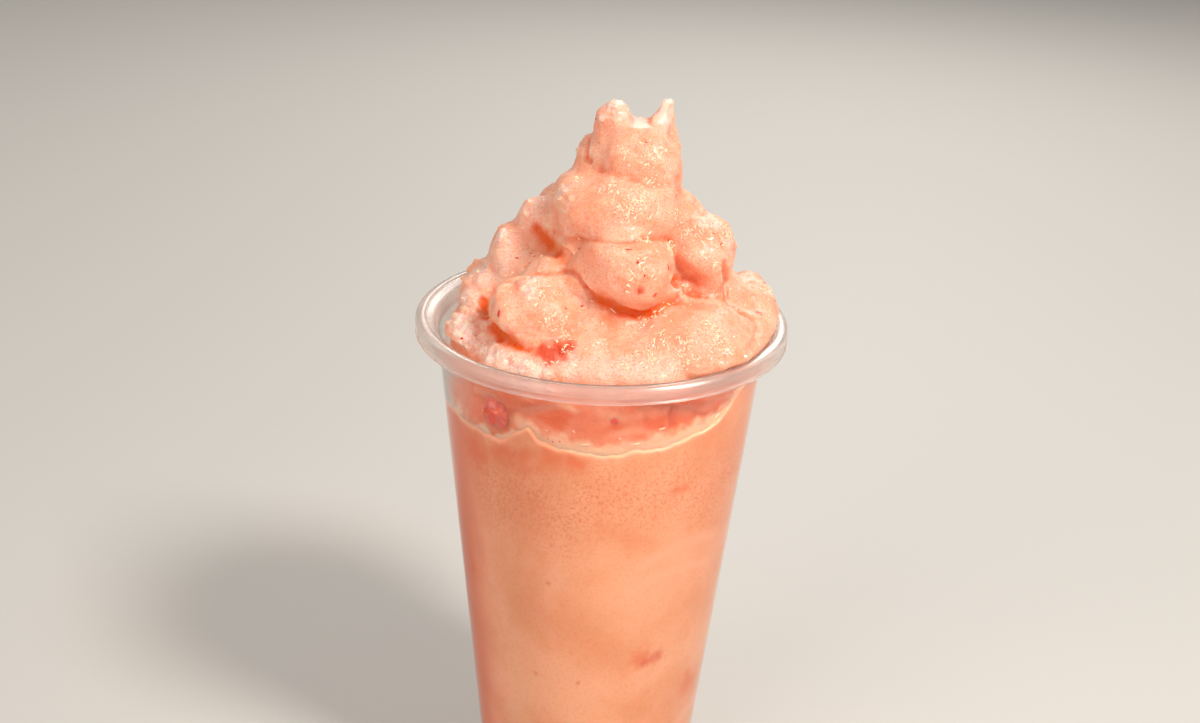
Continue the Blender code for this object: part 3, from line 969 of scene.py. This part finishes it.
def addShard(places, faces, centre, along, across, out, length, width, draw):
    start = len(places)
    turns = 4
    bend = across * length * draw.uniform(-0.25, 0.25)
    places.append(centre - along * length / 2)
    for i in range(turns):
        angle = math.tau * i / turns + draw.uniform(-0.3, 0.3)
        ring = across * math.cos(angle) + out * math.sin(angle)
        middle = centre + bend + along * draw.uniform(-0.15, 0.15) * length
        places.append(middle + ring * width * draw.uniform(0.35, 0.6))
    places.append(centre + along * length / 2)
    for i in range(turns):
        here, after = start + 1 + i, start + 1 + (i + 1) % turns
        faces.append((start, after, here))
        faces.append((start + turns + 1, here, after))


def buildIce(heapPiece, tree):
    print("ice: scattering the shards and laying the wet glints")
    hit = heapHit(tree)
    draw = random.Random(ice["seed"])
    mesh = heapPiece.data
    centres = np.array([p.center[:] for p in mesh.polygons])
    normals = np.array([p.normal[:] for p in mesh.polygons])
    areas = np.array([p.area for p in mesh.polygons])
    weight = ice["everywhere"] + np.zeros(len(centres))
    for px, py, radius in ice["clusters"]:
        middle = hit(px, py)
        if middle is not None:
            away = np.linalg.norm(centres - np.array(middle), axis=1) / (radius * mm)
            weight += np.exp(-away * away)
    weight *= areas * (centres[:, 2] > rimTop + 0.6 * mm)
    weight *= np.clip(normals @ np.array(ice["lit"]), 0.02, 1) ** 1.5
    total = np.cumsum(weight)
    places, faces = [], []
    for _ in range(ice["count"]):
        pick = int(np.searchsorted(total, draw.random() * total[-1]))
        out = Vector(normals[pick])
        along = out.cross(randomWay(draw)).normalized()
        along = (along + out * draw.uniform(-0.5, 0.5)).normalized()
        across = along.cross(out).normalized()
        length = np.interp(draw.random() ** 1.6, (0, 1), ice["length"]) * mm
        width = draw.uniform(*ice["width"]) * mm
        middle = Vector(centres[pick]) + out * width * draw.uniform(-0.15, 0.2)
        addShard(places, faces, middle, along, across, across.cross(along), length, width, draw)
    mesh = bpy.data.meshes.new("iceMesh")
    mesh.from_pydata([p[:] for p in places], [], faces)
    mesh.update()
    # The frost's pale colour is a painted glint on the ice
    frostAndGlint = makeWet("frostAndGlint", ice["colour"], ice["shade"], 0.12)
    standFor(newPiece("ice_shards", mesh, [frostAndGlint], smooth=False), "smoothie")
    # The wet glints: pale pips that are painted highlights
    shape = bmesh.new()
    addPips(shape, glints, tree, draw)
    standFor(newPiece("wet_glints", meshOf(shape, "glintMesh"), [frostAndGlint]), "smoothie")


# Strawberry: a lump behind the wall, and seeds and slivers on the heap
berry = {
    "lump": (491, 415, 4.6, 4.3, 2.8),  # pixel, then half sizes across, up and deep in mm
    "intoWall": 0.15 * mm,
    "highest": 0.28 * mm,  # half height of the seeds and slivers
    "seed": 5,
    "loose": 38,
    "looseLength": (0.5, 1.3),  # mm
    "looseWidth": (0.3, 0.5),
    "flesh": (tint(236, 60, 18), tint(208, 36, 6)),
    "ripe": (tint(234, 90, 26), tint(214, 60, 8)),
    "ripeReach": 1.6 * mm,
}
slivers = [  # pixel x and y, length and width in mm, turn in degrees
    (498.6, 313.7, 2.1, 0.8, 80), (461.7, 338.4, 0.9, 0.6, 0), (582, 306, 0.9, 0.6, 30),
    (514.6, 345.4, 0.9, 0.7, 0), (628.7, 249.4, 1.8, 0.5, 5), (668.2, 267, 1.7, 0.5, 88),
    (654.8, 294.8, 1.6, 0.6, 45), (596, 118.8, 0.9, 0.6, 20), (614.5, 421, 1.9, 1.5, 15),
    (537, 437, 0.6, 0.5, 0), (548, 438, 0.5, 0.4, 40), (553, 441, 0.5, 0.5, 0), (560, 441, 0.6, 0.4, 0),
    (468, 403, 0.8, 0.5, 70), (663, 425, 1.2, 0.4, 20), (552, 349, 0.6, 0.4, 0), (560, 353, 0.7, 0.4, 20),
    (566, 350, 0.5, 0.4, 0), (548, 356, 0.5, 0.4, 0), (571, 345, 0.5, 0.35, 0),
]
# glints: painted highlights, pale pips where wet streaks shine
glints = [  # wet streaks that shine, behind the wall and then on the heap, in the same terms
    (585, 444, 2.4, 0.45, 8), (637, 443, 3.0, 0.5, 2), (716, 415, 2.6, 0.5, 28), (662, 428, 1.8, 0.5, 8),
    (620, 438, 0.6, 0.5, 0), (547, 430, 0.5, 0.4, 0), (488, 413, 0.8, 0.5, 30), (492, 418, 0.6, 0.5, 0),
    (484, 410, 0.5, 0.4, 0), (497, 424, 0.6, 0.4, 60), (728, 402, 0.7, 0.6, 0), (574, 431, 1.2, 0.3, -40),
    (613.5, 311, 2.3, 0.35, -38), (662, 309, 2.8, 0.35, 42), (592, 301, 0.9, 0.4, -10),
    (669.5, 242, 2.4, 0.45, 75), (642, 263, 1.9, 0.45, 10), (631.5, 272, 2.0, 0.4, -50),
    (652.5, 276, 1.4, 0.5, 60), (714, 267, 1.7, 0.35, 85), (703, 243, 2.2, 0.35, -60),
    (628, 292, 1.2, 0.35, -20),
]


def addPip(shape, place, along, out, length, width, draw):
    # Sunk in the skin and low enough on it to stay off the wall
    across = out.cross(along).normalized()
    axes = Matrix((along, across, across.cross(along))).transposed().to_4x4()
    height = min(width / 2, berry["highest"])
    size = Matrix.Diagonal((length / 2, width / 2, height, 1))
    centre = place - out * height * 0.4
    stand = Matrix.Translation(centre) @ axes @ size
    made = bmesh.ops.create_icosphere(shape, subdivisions=2, radius=1, matrix=stand)
    for vert in made["verts"]:
        vert.co += Vector([draw.uniform(-0.04, 0.04) for _ in range(3)]) * width


def addPips(shape, listed, tree, draw):
    # Each pip lies on the skin where its pixel looks, turned as it looks in the photograph
    _, right, up, _ = cameraAxes()
    for px, py, length, width, turn in listed:
        where, out, _, _ = tree.ray_cast(*pixelRay(px, py))
        if where is not None:
            wanted = right * math.cos(math.radians(turn)) + up * math.sin(math.radians(turn))
            along = (wanted - out * wanted.dot(out)).normalized()
            addPip(shape, where, along, out, length * mm, width * mm, draw)


def buildSlivers(heapPiece, tree):
    print("strawberry: seeds and slivers")
    draw = random.Random(berry["seed"])
    shape = bmesh.new()
    addPips(shape, slivers, tree, draw)
    faces = [f for f in heapPiece.data.polygons if f.center.z > rimTop + 1 * mm]
    for face in draw.sample(faces, berry["loose"]):
        out = face.normal.copy()
        along = out.cross(randomWay(draw)).normalized()
        length, width = draw.uniform(*berry["looseLength"]) * mm, draw.uniform(*berry["looseWidth"]) * mm
        addPip(shape, face.center, along, out, length, width, draw)
    flesh = makeWet("strawberryFlesh", *berry["flesh"], 0.3)
    standFor(newPiece("strawberry_slivers", meshOf(shape, "sliverMesh"), [flesh]), "smoothie")


def buildLump():
    print("strawberry: the lump at the wall")
    px, py, across, tall, deep = berry["lump"]
    middle = wallHit(px, py)
    out = Vector((middle.x, middle.y, 0)).normalized()
    side = Vector((0, 0, 1)).cross(out)
    axes = Matrix((side, Vector((0, 0, 1)), out)).transposed().to_4x4()
    size = Matrix.Diagonal((across * mm, tall * mm, deep * mm, 1))
    centre = middle - out * (deep + 0.15) * mm
    lump = bmesh.new()
    stand = Matrix.Translation(centre) @ axes @ size
    bmesh.ops.create_icosphere(lump, subdivisions=5, radius=1, matrix=stand)
    for vert in lump.verts:
        away = (vert.co - centre).normalized()
        vert.co += away * noise.noise(vert.co / (2.2 * mm)) * 0.9 * mm
        vert.co += away * noise.noise(vert.co / (0.8 * mm)) * 0.25 * mm
        most = wallInner(vert.co.z) + berry["intoWall"]
        reach = math.hypot(vert.co.x, vert.co.y)
        vert.co.xy *= min(1, most / reach)
    ripe = makeWet("ripeFlesh", *berry["ripe"], 0.2, berry["ripeReach"])
    standFor(newPiece("strawberry_lump", meshOf(lump, "lumpMesh"), [ripe]), "smoothie")


# Floor, lights and the air round them
studio = {
    "floorSize": 5.0,
    "floor": tint(196, 193, 188),
    "air": tint(238, 234, 228),
    "airStrength": 0.46,
    "lights": [  # name, place, size, power in watts, colour, and whether it mirrors in what is glossy
        ("key", (0.6, -0.5, 0.95), 0.26, 12.5, (1.0, 0.95, 0.9), True),
        ("fill", (-0.8, -0.9, 0.6), 0.9, 7.4, (1.0, 0.94, 0.9), False),
        ("back", (0.2, 1.0, 0.8), 0.7, 6.0, (1.0, 0.97, 0.93), True),
    ],
}


def buildStudio():
    print("studio: floor and lights")
    shape = bmesh.new()
    bmesh.ops.create_grid(shape, x_segments=1, y_segments=1, size=studio["floorSize"] / 2)
    material, _, shader = startMaterial("paleFloor")
    shader.inputs["Base Color"].default_value = studio["floor"]
    shader.inputs["Roughness"].default_value = 0.6
    newPiece("floor", meshOf(shape, "floorMesh"), [material], smooth=False)
    world = bpy.data.worlds.new("air")
    world.use_nodes = True
    sky = world.node_tree.nodes["Background"]
    sky.inputs["Color"].default_value = studio["air"]
    sky.inputs["Strength"].default_value = studio["airStrength"]
    scene.world = world
    aim = Vector((0, 0, rimTop))
    for name, place, size, power, colour, mirrored in studio["lights"]:
        lamp = bpy.data.lights.new(name, "AREA")
        lamp.shape = "DISK"
        lamp.size = size
        lamp.energy = power
        lamp.color = colour
        light = bpy.data.objects.new(name, lamp)
        light.location = place
        light.visible_glossy = mirrored
        light.rotation_euler = (aim - Vector(place)).to_track_quat("-Z", "Y").to_euler()
        scene.collection.objects.link(light)


makeCamera()
buildCup()
iceGrain = makeIceGrain()
buildDrink(iceGrain)
heapPiece, heapTree = buildHeap(iceGrain)
buildIce(heapPiece, heapTree)
buildSlivers(heapPiece, heapTree)
buildLump()
buildStudio()
